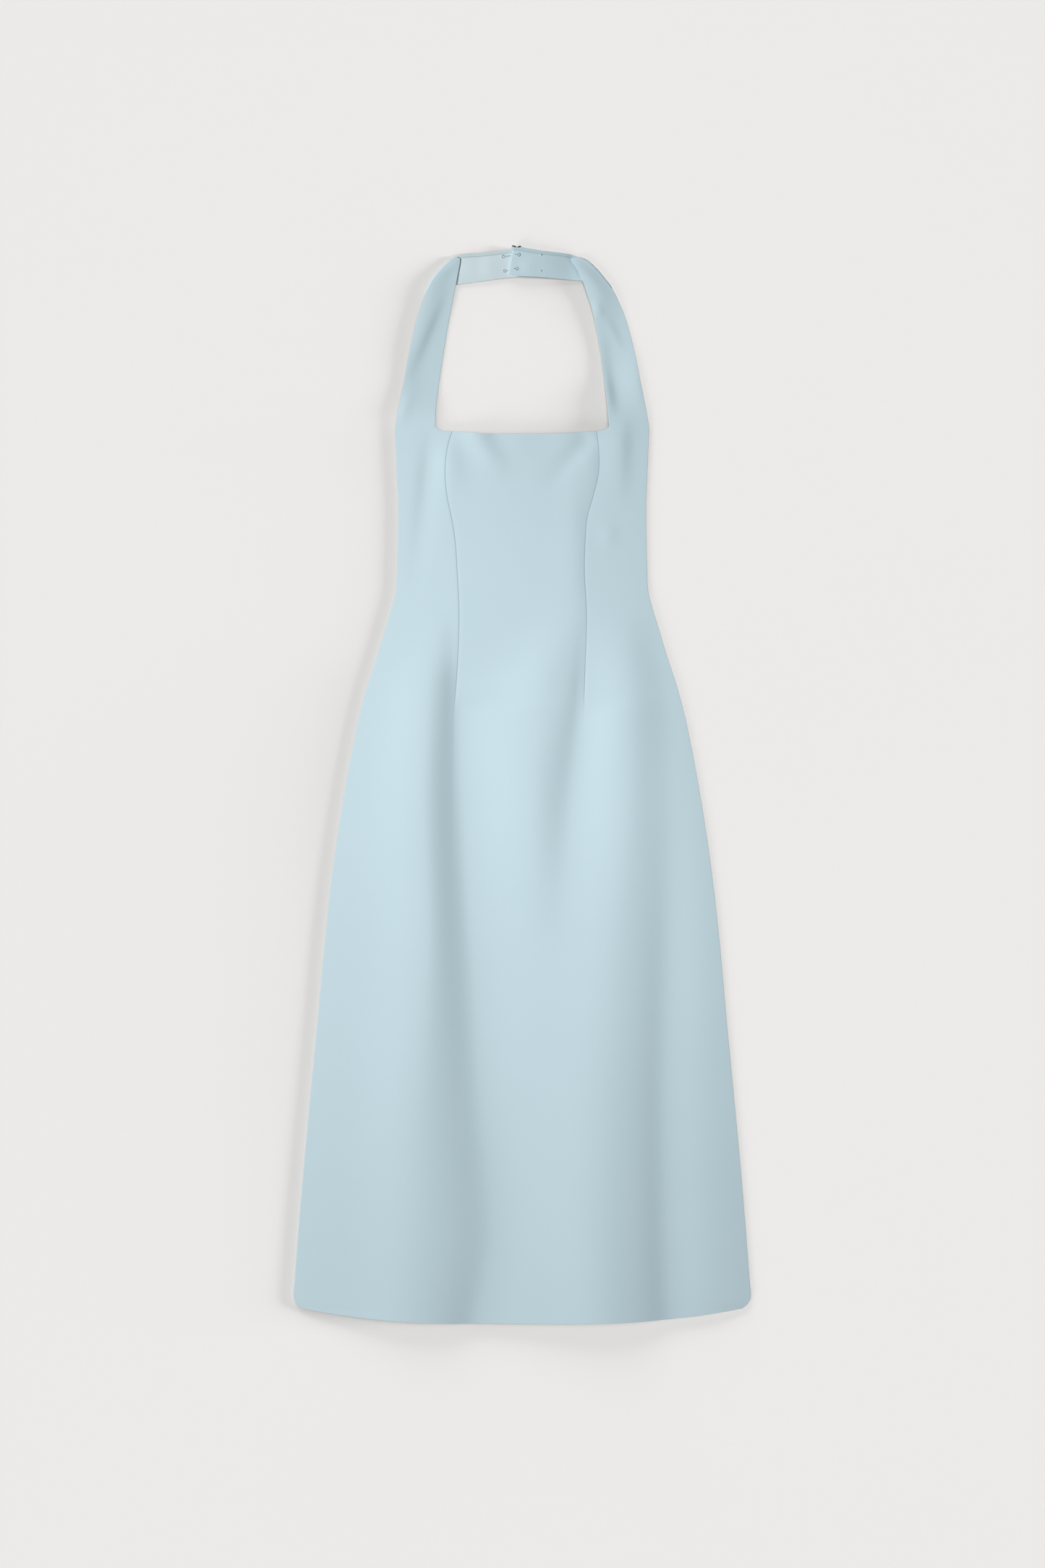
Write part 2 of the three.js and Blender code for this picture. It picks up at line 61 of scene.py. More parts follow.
# Half the width of the dress at each height, from the rounded hem corner to the underarm
OUTLINE = rows(
    "up half",
    (20, 296), (25, 302.5), (33, 306.4), (60, 304.6), (125, 299.7), (222, 291.5), (319, 282.3),
    (416, 273), (513, 264.3), (610, 253.2), (707, 238.6), (804, 220.2), (853, 207.6), (901, 192),
    (940, 180.4), (959, 174.6), (979, 169.3), (1000, 167.6), (1095, 165.9), (1153, 168.3),
    (1202, 170.2),
)
# The hem curves up from the centre line to the sides, and the rows above it do so less and less
HEM_CURVE = {"at": 255, "rise": 13, "power": 2.9, "fades over": 260}
BACK_TOP = 1185
BACK_TOP_DIP = 12
BACK_TOP_CURVE = 60
BACK_INSET = 0.6  # the back's edges lie just inside the front's
BACK_COLUMNS = 22
BACK_ROWS = 120
BACK_EDGE = 0.45  # radius of its rounded edges
BACK_SIDE_POWER = 8  # its creases run out towards the side edges with this power

# Soft ridges where the back stands a little off the floor, each along a line from its start to
# its end. left and right are how far it reaches to its sides, and swell where it is highest.
BACK_CREASES = rows(
    "x up end_x end_up height left right swell",
    (-168, 60, -120, 520, 1.6, 16, 24, 0.4),
    (-70, 260, -84, 700, 1.1, 22, 14, 0.6),
    (92, 90, 74, 610, 1.5, 14, 26, 0.5),
    (196, 150, 140, 560, 1.2, 20, 14, 0.3),
    (-110, 900, -60, 1090, 0.9, 16, 12, 0.5),
    (52, 860, 112, 1030, 0.9, 12, 18, 0.5),
    (-40, 760, -96, 840, 0.8, 12, 12, 0.5),
)


def between(table, key, at, column):
    """A value between the rows of a table, on a smooth curve through them."""
    last = len(table) - 1
    if at <= table[0][key]:
        return table[0][column]
    if at >= table[last][key]:
        return table[last][column]
    i = next(k for k, row in enumerate(table) if row[key] > at) - 1

    def slope(a, b):
        return (table[b][column] - table[a][column]) / (table[b][key] - table[a][key])

    step = table[i + 1][key] - table[i][key]
    t = (at - table[i][key]) / step
    start = slope(i - 1, i + 1) if i > 0 else slope(0, 1)
    end = slope(i, i + 2) if i + 1 < last else slope(last - 1, last)
    return (
        (2 * t**3 - 3 * t**2 + 1) * table[i][column] + (t**3 - 2 * t**2 + t) * step * start
        + (3 * t**2 - 2 * t**3) * table[i + 1][column] + (t**3 - t**2) * step * end
    )


def lerp(a, b, share):
    return a + (b - a) * share


def ramp(at, start, end):
    """0 before start, 1 past end, and a smooth rise between them."""
    t = min(1, max(0, (at - start) / (end - start)))
    return t * t * (3 - 2 * t)


def bump(distance, reach):
    return math.exp(-((distance / reach) ** 2))


def half_width(up):
    return between(OUTLINE, "up", up, "half")


def hem_rise(x):
    return HEM_CURVE["rise"] * (abs(x) / HEM_CURVE["at"]) ** HEM_CURVE["power"]


def hem_fade(level):
    return max(0, 1 - level / HEM_CURVE["fades over"])


def crease_height(creases, x, up):
    """What a list of soft creases adds to the height of the cloth at one point."""
    total = 0
    for crease in creases:
        along_x = crease["end_x"] - crease["x"]
        along_up = crease["end_up"] - crease["up"]
        length = math.hypot(along_x, along_up)
        from_x = x - crease["x"]
        from_up = up - crease["up"]
        t = (from_x * along_x + from_up * along_up) / length**2
        if t >= 1:
            continue
        across = (from_x * along_up - from_up * along_x) / length
        if along_up < 0:
            across = -across
        reach = crease["left"] if across < 0 else crease["right"]
        swell = crease["swell"]
        if t > swell:
            strength = 1 - ramp(t, swell, 1)
        else:
            strength = ramp(t, 0, swell) if swell > 0 else bump(t * length, reach)
        total += crease["height"] * strength * bump(across, reach)
    return total


def cloth_wall(name, size, lower, has_cell=None, thick=None, painted_shade=None):
    """A closed wall of cloth on a grid of rows and columns. lower gives its underside's points,
    thick the wall above each of them, and the last argument, from 0 to 1, how much painted shade
    darkens each point along seams and turned edges."""
    row_count, column_count = size
    shape = bmesh.new()
    line = shape.verts.layers.float.new("painted_shade")
    corners = {}

    def corner(i, j):
        if (i, j) not in corners:
            x, up, lift = lower(i, j)
            wall = thick(i, j) if thick else CLOTH
            pair = []
            for height in (lift, lift + wall):
                vertex = shape.verts.new((x * MM, (up - LENGTH / 2) * MM, height * MM))
                vertex[line] = painted_shade(i, j) if painted_shade else 0
                pair.append(vertex)
            corners[i, j] = pair
        return corners[i, j]

    def filled(i, j):
        inside = 0 <= i < row_count and 0 <= j < column_count
        return inside and (has_cell is None or has_cell(i, j))

    for i in range(row_count):
        for j in range(column_count):
            if not filled(i, j):
                continue
            ring = [corner(i, j), corner(i, j + 1), corner(i + 1, j + 1), corner(i + 1, j)]
            shape.faces.new([pair[1] for pair in ring])
            shape.faces.new([pair[0] for pair in reversed(ring)])
            beside = [(i - 1, j), (i, j + 1), (i + 1, j), (i, j - 1)]
            for k, cell in enumerate(beside):
                if not filled(*cell):
                    a, b = ring[k], ring[(k + 1) % 4]
                    shape.faces.new([a[0], b[0], b[1], a[1]])
    return made_object(name, shape)


def made_object(name, shape):
    """Puts a mesh that is being made into the scene as a smooth object."""
    mesh = bpy.data.meshes.new(name)
    shape.to_mesh(mesh)
    shape.free()
    mesh.shade_smooth()
    made = bpy.data.objects.new(name, mesh)
    bpy.context.collection.objects.link(made)
    return made


def round_edges(piece, radius):
    """Rounds a piece's edges as folded-in cloth is rounded."""
    bevel = piece.modifiers.new("rounded edges", "BEVEL")
    bevel.width = radius * MM
    bevel.segments = 3
    bevel.limit_method = "ANGLE"
    bevel.angle_limit = math.radians(60)
    bevel.harden_normals = True


class Output:
    """One output of a material's node. Maths on it is written as a plain expression."""

    def __init__(self, look, socket):
        self.look = look
        self.socket = socket

    def __add__(self, other):
        return self.look.maths("ADD", self, other)

    def __sub__(self, other):
        return self.look.maths("SUBTRACT", self, other)

    def __rsub__(self, other):
        return self.look.maths("SUBTRACT", other, self)

    def __mul__(self, other):
        return self.look.maths("MULTIPLY", self, other)

    __radd__ = __add__
    __rmul__ = __mul__

    def sine(self):
        return self.look.maths("SINE", self)


class Look:
    """A material and its nodes."""

    def __init__(self, name):
        self.material = bpy.data.materials.new(name)
        self.material.use_nodes = True
        self.tree = self.material.node_tree
        self.tree.nodes.clear()

    def node(self, kind, settings=None, sockets=None, output=0):
        """Adds a node: first its settings, then the value or the link of each socket."""
        made = self.tree.nodes.new(kind)
        for name, value in (settings or {}).items():
            setattr(made, name, value)
        for name, value in (sockets or {}).items():
            if isinstance(value, Output):
                self.tree.links.new(value.socket, made.inputs[name])
            else:
                made.inputs[name].default_value = value
        return Output(self, made.outputs[output]) if made.outputs else None

    def maths(self, operation, *values):
        return self.node("ShaderNodeMath", {"operation": operation}, dict(enumerate(values)))

    def mix(self, share, first, second):
        """A colour between two others."""
        sockets = {0: share, 6: first, 7: second}
        return self.node("ShaderNodeMix", {"data_type": "RGBA"}, sockets, output=2)

    def surface(self, **sockets):
        """Ends the nodes in one shader. An underscore in a socket's name stands for a space."""
        named = {name.replace("_", " "): value for name, value in sockets.items()}
        shader = self.node("ShaderNodeBsdfPrincipled", sockets=named)
        self.node("ShaderNodeOutputMaterial", sockets={"Surface": shader})


# Matt crepe: fine crossing threads under a pebbled face, a little uneven in its dye
THREAD = 0.55 * MM
PEBBLE = 1.3 * MM
CREPE_BLUE = (0.575, 0.725, 0.785, 1)
CREPE_DEEP = (0.55, 0.70, 0.762, 1)
# The wrong side's colours are paler than the face's: partly its own paler tone, partly painted
# light, as they make the left end of the neck band lighter than the right
WRONG_SIDE_LIT_BLUE = (0.68, 0.795, 0.83, 1)
WRONG_SIDE_LIT_DEEP = (0.645, 0.765, 0.80, 1)
# Painted shade: this dark colour is mixed in along the darts' seam crevices, along the neck band's
# row of stitches and over its turned top strip, where shade falls
PAINTED_SHADE_BLUE = (0.33, 0.455, 0.515, 1)


def crepe_face(name, deep, pale):
    """The look of one face of the crepe, between two shades of its dye."""
    face = Look(name)
    place = face.node("ShaderNodeTexCoord", output="Object")
    across_cloth = face.node("ShaderNodeSeparateXYZ", sockets={"Vector": place}, output="X")
    along_cloth = face.node("ShaderNodeSeparateXYZ", sockets={"Vector": place}, output="Y")
    threads = math.tau / THREAD
    weave = (across_cloth * threads).sine() * (along_cloth * threads).sine()
    pebbles = face.node(
        "ShaderNodeTexNoise", sockets={"Vector": place, "Scale": 1 / PEBBLE, "Detail": 3}
    )
    dye = face.node("ShaderNodeTexNoise", sockets={"Vector": place, "Scale": 9, "Detail": 4})
    slubs = face.node("ShaderNodeTexNoise", sockets={"Vector": place, "Scale": 260, "Detail": 2})
    # The attribute gives how much painted shade each point takes, from 0 to 1
    stitches = face.node("ShaderNodeAttribute", {"attribute_name": "painted_shade"}, output="Fac")
    face.surface(
        Base_Color=face.mix(stitches, face.mix(dye * 0.7 + slubs * 0.3, deep, pale), PAINTED_SHADE_BLUE),
        Roughness=0.74 + pebbles * 0.16,
        Specular_IOR_Level=0.3,
        Sheen_Weight=0.12,
        Sheen_Roughness=0.45,
        Normal=face.node(
            "ShaderNodeBump",
            sockets={"Strength": 0.25, "Distance": 0.12 * MM, "Height": weave * 0.35 + pebbles},
        ),
    )
    return face.material


crepe = crepe_face("pale blue crepe", CREPE_DEEP, CREPE_BLUE)
wrong_side_painted_light = crepe_face("wrong side of the crepe, painted lighter", WRONG_SIDE_LIT_DEEP, WRONG_SIDE_LIT_BLUE)

cloth_pieces = []


def dress_piece(piece, node, face):
    """Finishes a piece of the crepe that stands for a node."""
    piece.data.materials.append(face)
    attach(piece, "root")
    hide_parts(node)
    cloth_pieces.append(piece)


def back_half(name, side):
    def lower(i, j):
        level = lerp(BACK_INSET, BACK_TOP, i / BACK_ROWS)
        widest = half_width(level + hem_rise(half_width(level)) * hem_fade(level)) - BACK_INSET
        share = (j if side > 0 else BACK_COLUMNS - j) / BACK_COLUMNS
        x = lerp(SEAM / 2, widest, share)
        dip = BACK_TOP_DIP * (1 - share**2) * ramp(level, BACK_TOP - BACK_TOP_CURVE, BACK_TOP)
        up = level + hem_rise(x) * hem_fade(level) - dip
        inside = 1 - share**BACK_SIDE_POWER
        return side * x, up, max(0, crease_height(BACK_CREASES, side * x, up)) * inside

    half = cloth_wall(name, (BACK_ROWS, BACK_COLUMNS), lower)
    round_edges(half, BACK_EDGE)
    return half


for name, side in (("back-left", -1), ("back-right", 1)):
    dress_piece(
        back_half(name, side), name.replace("-", "_"), crepe,
    )


# The zip in the centre-back seam
# A concealed zip sewn to the inside of the back: two narrow woven tapes with a nylon coil down
# the middle, closed. It lies under the front, so nothing of it shows from above.

ZIP = {"half": 10, "thick": 0.9, "bottom": 800, "top": 1165, "floor": CLOTH + SEAM}
TAPE = {"thick": 0.8, "groove": 0.25, "groove at": 0.6, "groove reach": 0.08}
COIL = {
    "wire": 0.3, "radius": 0.75, "wide": 1.5, "lean": 0.75, "flat": 0.8, "pitch": 1.6,
    "steps": 8, "sides": 5,
}
STEEP = 0.05  # a bar with less run than this for its length goes straight up
TAPE_COLUMNS = 20
TAPE_ROWS = 60
TAPE_BLUE = (0.47, 0.65, 0.72, 1)
TAPE_DEEP = (0.42, 0.6, 0.68, 1)
TAPE_RIB = 0.9 * MM


def tape_point(i, j):
    across = 2 * j / TAPE_COLUMNS - 1
    up = lerp(ZIP["bottom"], ZIP["top"], i / TAPE_ROWS)
    return ZIP["half"] * across, up, ZIP["floor"]


def tape_thickness(i, j):
    across = abs(2 * j / TAPE_COLUMNS - 1)
    groove = TAPE["groove"] * bump(across - TAPE["groove at"], TAPE["groove reach"])
    return ZIP["thick"] * (TAPE["thick"] - groove)


def tube(name, points, radius, sides, closed=False):
    """A round bar along a list of points in metres."""
    shape = bmesh.new()
    rings = []
    count = len(points)
    for k, point in enumerate(points):
        before = points[k - 1] if k > 0 or closed else points[k]
        after = points[(k + 1) % count] if k < count - 1 or closed else points[k]
        ahead = [b - a for a, b in zip(before, after)]
        size = math.hypot(*ahead)
        ahead = [value / size for value in ahead]
        flat = math.hypot(ahead[0], ahead[1])
        if flat > STEEP:
            beside = (-ahead[1] / flat, ahead[0] / flat, 0)
        else:
            beside = (1, 0, 0)
        over = (
            ahead[1] * beside[2] - ahead[2] * beside[1],
            ahead[2] * beside[0] - ahead[0] * beside[2],
            ahead[0] * beside[1] - ahead[1] * beside[0],
        )
        ring = []
        for s in range(sides):
            angle = math.tau * s / sides
            ring.append(shape.verts.new([
                p + radius * (math.cos(angle) * b + math.sin(angle) * o)
                for p, b, o in zip(point, beside, over)
            ]))
        rings.append(ring)
    for k in range(count if closed else count - 1):
        first, second = rings[k], rings[(k + 1) % count]
        for s in range(sides):
            t = (s + 1) % sides
            shape.faces.new([first[s], second[s], second[t], first[t]])
    if not closed:
        shape.faces.new(rings[0])
        shape.faces.new(reversed(rings[-1]))
    bmesh.ops.recalc_face_normals(shape, faces=shape.faces)
    return made_object(name, shape)


def joined(name, pieces):
    """Makes one object of several."""
    shape = bmesh.new()
    for piece in pieces:
        shape.from_mesh(piece.data)
        bpy.data.objects.remove(piece)
    return made_object(name, shape)


def coil_points(side):
    """One side of the coil: flattened turns that reach out from the middle line."""
    turns = (ZIP["top"] - ZIP["bottom"]) / COIL["pitch"] - 2
    points = []
    for k in range(round(turns * COIL["steps"])):
        angle = math.tau * k / COIL["steps"]
        x = side * COIL["wide"] / 2 * (COIL["lean"] - math.cos(angle))
        up = ZIP["bottom"] + COIL["pitch"] * (1 + k / COIL["steps"] + (0.5 if side > 0 else 0))
        height = ZIP["floor"] + ZIP["thick"] * TAPE["thick"]
        height += COIL["radius"] * (1 + COIL["flat"] * math.sin(angle))
        points.append((x * MM, (up - LENGTH / 2) * MM, height * MM))
    return points


tape_look = Look("woven zip tape")
place = tape_look.node("ShaderNodeTexCoord", output="Object")
along_tape = tape_look.node("ShaderNodeSeparateXYZ", sockets={"Vector": place}, output="Y")
ribs = (along_tape * (math.tau / TAPE_RIB)).sine() * 0.5 + 0.5
fuzz = tape_look.node("ShaderNodeTexNoise", sockets={"Vector": place, "Scale": 900, "Detail": 2})
tape_look.surface(
    Base_Color=tape_look.mix(ribs * 0.6 + fuzz * 0.4, TAPE_DEEP, TAPE_BLUE),
    Roughness=0.7 + fuzz * 0.15,
    Sheen_Weight=0.1,
    Normal=tape_look.node(
        "ShaderNodeBump", sockets={"Strength": 0.4, "Distance": 0.2 * MM, "Height": ribs}
    ),
)
coil_look = Look("nylon coil")
place = coil_look.node("ShaderNodeTexCoord", output="Object")
scuffs = coil_look.node("ShaderNodeTexNoise", sockets={"Vector": place, "Scale": 500, "Detail": 3})
coil_look.surface(
    Base_Color=coil_look.mix(scuffs, TAPE_BLUE, CREPE_BLUE),
    Roughness=0.3 + scuffs * 0.2,
    Specular_IOR_Level=0.5,
)

tape = cloth_wall("zip-tape", (TAPE_ROWS, TAPE_COLUMNS), tape_point, thick=tape_thickness)
tape.data.materials.append(tape_look.material)
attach(tape, "root")
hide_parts("back_zip")
coil = joined("zip-coil", [
    tube("coil", coil_points(side), COIL["wire"] * MM, COIL["sides"]) for side in (-1, 1)
])
coil.data.materials.append(coil_look.material)
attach(coil, "root")


# The front
# Skirt, bodice and both neck straps are one piece of crepe, shaped by two long darts from the
# neckline to the hip. It is sewn to the back at the sides and falls in three large soft folds.

NECKLINE_UP = 1191.5
NECKLINE_FADE = 100
FRONT_EDGE = 0.6  # radius of the rounded edges of the front and the neck band
DART_HALF_WIDTH = 0.8
DART_DEPTH = 0.06
DART_END = 810
DART_FADE = 45
PAST_DART = 120  # a fold that ends at a dart runs out level over this width beyond it

SIDE_POWER = 8  # folds and creases run out towards the side edges with this power

# How far the top edge rises above the middle of the neckline, out to the strap corners
NECKLINE = rows(
    "x rise", (0, 0), (50, 0.2), (91, 3), (107, 4.4), (112, 5.6), (116.4, 10), (175, 10.3)
)

# The darts, the lines that carry on from their ends to the hem, and the line from the strap's
# inner corner down the side of the front
SEAM_LINES = rows(
    "up dart_left dart_right corner",
    (0, -97, 92, 176), (400, -95, 88, 160), (810, -91.2, 82.4, 140), (883, -86.7, 84.3, 134),
    (950, -84.5, 86.2, 128), (1005, -86.9, 83.4, 125), (1049, -89.8, 84.4, 123),
    (1081, -94.8, 87.3, 121), (1105, -100.2, 94.3, 119.5), (1138, -103.3, 102.3, 118),
    (1172, -99.7, 102.2, 117), (1202, -90, 97.6, 116.4),
)

# How high the front stands off the back along the centre line. It falls to the sides as the
# distance from that line to the given power.
FULLNESS = rows(
    "up rise power",
    (0, 10.5, 3), (600, 10.5, 3), (850, 10, 2.8), (1000, 9.5, 2), (1100, 9, 2), (1202, 8.8, 2),
)

# The three large folds. x is the steepest place between the crest on its left and the valley on
# its right. crest and valley are their heights, crest_reach and valley_reach how far off they
# lie, and rise_left and rise_right how far beyond them the cloth is level again. The middle one
# ends at the right dart and runs on beside it, up to the neckline, as a slight step.
LEFT_FOLD = rows(
    "up x crest valley crest_reach valley_reach rise_left rise_right",
    (0, -92, 4, 4.7, 56, 32, 60, 70), (125, -79, 4.4, 5.2, 62, 40, 60, 70),
    (320, -90, 5.6, 5.4, 48, 34, 60, 70), (510, -96, 5.6, 5.6, 30, 29, 60, 70),
    (707, -104, 6.2, 5.4, 28, 23, 55, 60), (853, -102, 4.3, 3.8, 24, 15, 44, 40),
    (900, -100, 1.7, 1.2, 18, 12, 34, 30), (950, -98, 0, 0, 10, 10, 30, 30),
)
DART_FOLD = rows(
    "up x crest valley crest_reach valley_reach rise_left rise_right",
    (480, 35, 0, 0, 30, 24, 50, 50), (590, 39, 1.2, 1.2, 26, 22, 50, 50),
    (707, 45, 3.3, 3.1, 31, 23, 50, 40), (853, 68, 4.3, 2.8, 40, 14, 50, 30),
    (900, 74, 2.7, 1.4, 30, 10, 44, 30), (950, 80.5, 0.9, 0.5, 18, 6, 36, 24),
    (1005, 78.5, 0.7, 0.4, 11, 6, 26, 20), (1049, 79.5, 0.7, 0.4, 11, 6, 26, 20),
    (1081, 82.5, 0.7, 0.4, 11, 6, 26, 20), (1105, 89.5, 0.8, 0.5, 11, 6, 26, 20),
    (1138, 97, 0.9, 0.6, 12, 6, 26, 20), (1172, 97, 0.9, 0.6, 12, 6, 26, 20),
    (1202, 92.5, 0.6, 0.4, 10, 6, 26, 20),
)
RIGHT_FOLD = rows(
    "up x crest valley crest_reach valley_reach rise_left rise_right",
    (0, 174, 5.4, 3.4, 62, 24, 60, 42), (125, 169, 5, 3.4, 60, 24, 60, 42),
    (320, 167, 4.4, 3.2, 54, 24, 60, 42), (510, 171, 4.2, 2.8, 48, 25, 55, 38),
    (707, 177, 4.2, 0.9, 36, 24, 50, 30), (853, 177, 4.2, 0.8, 36, 18, 45, 24),
    (960, 160, 0, 0, 24, 14, 40, 20),
)

# Smaller creases, in the columns of the back's: below the neckline, on the sides of the bodice,
# at the underarms and on the straps
FRONT_CREASES = rows(
    "x up end_x end_up height left right swell",
    (-118, 1215, -150, 955, -2.2, 12, 18, 0.3),
    (-101, 1200, -90, 1096, 1.7, 22, 14, 0.4),
    (-62, 1194, -16, 1122, 4, 18, 13, 0),
    (-6, 1192, 10, 1140, 1.3, 30, 40, 0),
    (58, 1196, 46, 1150, 1.1, 30, 20, 0),
    (95, 1190, 17, 1104, -2.1, 14, 11, 0.1),
    (133, 1222, 130, 1080, 2.6, 26, 13, 0.3),
    (84, 1180, 80, 1040, -0.5, 9, 14, 0.6),
    (113, 1082, 118, 1030, 0.8, 12, 12, 0.5),
    (-99, 1402, -160, 1258, 1.7, 14, 7, 0.5),
    (-148, 1254, -168, 1196, 1, 8, 9, 0.5),
    (112, 1276, 118, 1204, 1, 6, 8, 0.4),
    (98, 1374, 106, 1344, 0.8, 9, 6, 0.5),
    (108, 1352, 138, 1300, 0.9, 9, 5, 0.5),
    (150, 1330, 159, 1212, 1.7, 20, 8, 0.5),
)

# Sections across each strap, from the underarm to the point at the neck where it folds under.
# lift is the height of its underside, crest that of its soft ridge, crest_at where the ridge
# lies between the outer edge, 0, and the inner edge, 1. It runs out over the reach on each side.
STRAP_LEFT = rows(
    "outer_x outer_up inner_x inner_up lift crest crest_at outer_reach inner_reach",
    (-170.2, 1201.8, -116.4, 1201.5, 4, 0.5, 0.6, 0.4, 0.4),
    (-164.9, 1230.9, -115.4, 1229, 1.5, 0.9, 0.3, 0.4, 0.35),
    (-157.1, 1269.7, -110.6, 1265.8, 0.3, 1.3, 0.02, 0.4, 0.3),
    (-149.4, 1308.5, -104.8, 1304.6, 0, 1.8, 0, 0.4, 0.34),
    (-140.7, 1347.3, -98.9, 1340.5, 0, 2.2, 0.08, 0.4, 0.4),
    (-133.9, 1366.7, -95.1, 1360.9, 0.8, 2, 0.12, 0.4, 0.4),
    (-127.1, 1385.2, -91.7, 1378.4, 1.8, 1.6, 0.15, 0.4, 0.4),
    (-119.3, 1398.7, -88.8, 1392, 1.8, 1.4, 0.15, 0.4, 0.4),
    (-109.6, 1410.9, -86.3, 1405.5, 1.8, 1.1, 0.2, 0.4, 0.4),
    (-98, 1422.5, -83.9, 1418.1, 1.8, 0.5, 0.5, 0.4, 0.4),
    (-88.3, 1429.8, -82.9, 1426.9, 1.8, 0, 0.5, 0.4, 0.4),
)
STRAP_RIGHT = rows(
    "outer_x outer_up inner_x inner_up lift crest crest_at outer_reach inner_reach",
    (170.2, 1201.8, 116.4, 1201.5, 4, 1, 0.95, 0.3, 0.4),
    (164.9, 1230.9, 114.5, 1229, 1.5, 3, 1, 0.22, 0.4),
    (157.1, 1269.7, 110.1, 1265.8, 0.3, 2, 1, 0.18, 0.4),
    (149.4, 1308.5, 104.3, 1304.6, 0, 1.4, 1, 0.25, 0.4),
    (138.7, 1347.3, 98, 1340.5, 0, 2.2, 0.95, 0.5, 0.4),
    (130.9, 1366.7, 92.6, 1362.8, 0.6, 2.6, 0.75, 0.55, 0.5),
    (122.2, 1384.2, 87.3, 1379.3, 1.3, 3.1, 0.65, 0.5, 0.7),
    (112.5, 1396.8, 82, 1394.9, 1.6, 3.1, 0.7, 0.55, 0.8),
    (100.9, 1410.9, 75.7, 1409.4, 1.8, 2.6, 0.8, 0.6, 0.8),
    (88.3, 1423, 69.4, 1419.1, 1.8, 1.3, 0.85, 0.6, 0.8),
    (76.6, 1429.3, 66, 1427.8, 1.8, 0, 0.5, 0.5, 0.8),
)
STRAP_LEAVES_BODY = 2  # by this section the strap no longer follows the bodice's fullness

# Cells of the front's grid across each stretch between its named lines
SIDE_CELLS = 16
STRAP_CELLS = 10
GROOVE_CELLS = 4
MIDDLE_CELLS = 32

# Its rows are close together at the hem's rounded corners and evenly spaced above them
HEM_LEVELS = (0, 1.2, 3, 5, 7.5, 10.5, 14, 18, 23, 29)
EVEN_ROWS = 166
BODY_ROWS = len(HEM_LEVELS) + EVEN_ROWS - 1
STRAP_ROWS_PER_SECTION = 5
STRETCHES = (
    SIDE_CELLS, STRAP_CELLS, GROOVE_CELLS, MIDDLE_CELLS, GROOVE_CELLS, STRAP_CELLS, SIDE_CELLS,
)
FRONT_COLUMNS = sum(STRETCHES)


def section(table, at):
    """The section of a strap or a band at a place between two rows of its table."""
    numbered = [dict(row, index=k) for k, row in enumerate(table)]
    return {name: between(numbered, "index", at, name) for name in table[0]}


def fold_height(fold, x, up, dart=None):
    """What a fold adds at one point. One that meets a dart stops sinking at its seam."""
    value = {name: between(fold, "up", up, name) for name in fold[0] if name != "up"}
    past_dart = 0
    if dart:
        line = between(SEAM_LINES, "up", up, dart)
        past_dart = max(0, x - line) * ramp(up, DART_END, DART_END + DART_FADE)
    x -= past_dart
    past_crest = x - value["x"] + value["crest_reach"]
    past_valley = x - value["x"] - value["valley_reach"]
    crest = bump(past_crest, value["crest_reach"] if past_crest > 0 else value["rise_left"])
    valley = bump(past_valley, value["valley_reach"] if past_valley < 0 else value["rise_right"])
    height = value["crest"] * crest - value["valley"] * valley
    return height * (1 - ramp(past_dart, 0, PAST_DART))


def drape(x, up):
    """Height of the front's underside above the floor, without its small creases."""
    across = min(1, abs(x) / half_width(up))
    power = between(FULLNESS, "up", up, "power")
    full = between(FULLNESS, "up", up, "rise") * (1 - across**power)
    folds = fold_height(LEFT_FOLD, x, up, "dart_left") + fold_height(RIGHT_FOLD, x, up)
    folds += fold_height(DART_FOLD, x, up, "dart_right")
    return CLOTH + SEAM + full + folds * (1 - across**SIDE_POWER)


def across_row(up, edge):
    """The places of the grid's points across the front at one height."""
    line = {name: between(SEAM_LINES, "up", up, name) for name in SEAM_LINES[0]}
    ends = [
        -edge, -line["corner"],
        line["dart_left"] - DART_HALF_WIDTH, line["dart_left"] + DART_HALF_WIDTH,
        line["dart_right"] - DART_HALF_WIDTH, line["dart_right"] + DART_HALF_WIDTH,
        line["corner"], edge,
    ]
    places = []
    for s, count in enumerate(STRETCHES):
        places += [lerp(ends[s], ends[s + 1], k / count) for k in range(count)]
    return places + [edge]


body_rows = {}


def body_row(i):
    if i not in body_rows:
        if i < len(HEM_LEVELS):
            level = HEM_LEVELS[i]
        else:
            level = lerp(HEM_LEVELS[-1], NECKLINE_UP, (i + 1 - len(HEM_LEVELS)) / EVEN_ROWS)
        strength = ramp(level, NECKLINE_UP - NECKLINE_FADE, NECKLINE_UP)
        rise = hem_rise(half_width(level)) * hem_fade(level) + NECKLINE[-1]["rise"] * strength
        body_rows[i] = (level, strength, across_row(level, half_width(level + rise)))
    return body_rows[i]


def body_point(i, j):
    level, strength, places = body_row(i)
    x = places[j]
    up = level + hem_rise(x) * hem_fade(level) + between(NECKLINE, "x", abs(x), "rise") * strength
    across = min(1, abs(x) / half_width(up))
    small = crease_height(FRONT_CREASES, x, up)
    return x, up, drape(x, up) + small * (1 - across**SIDE_POWER)


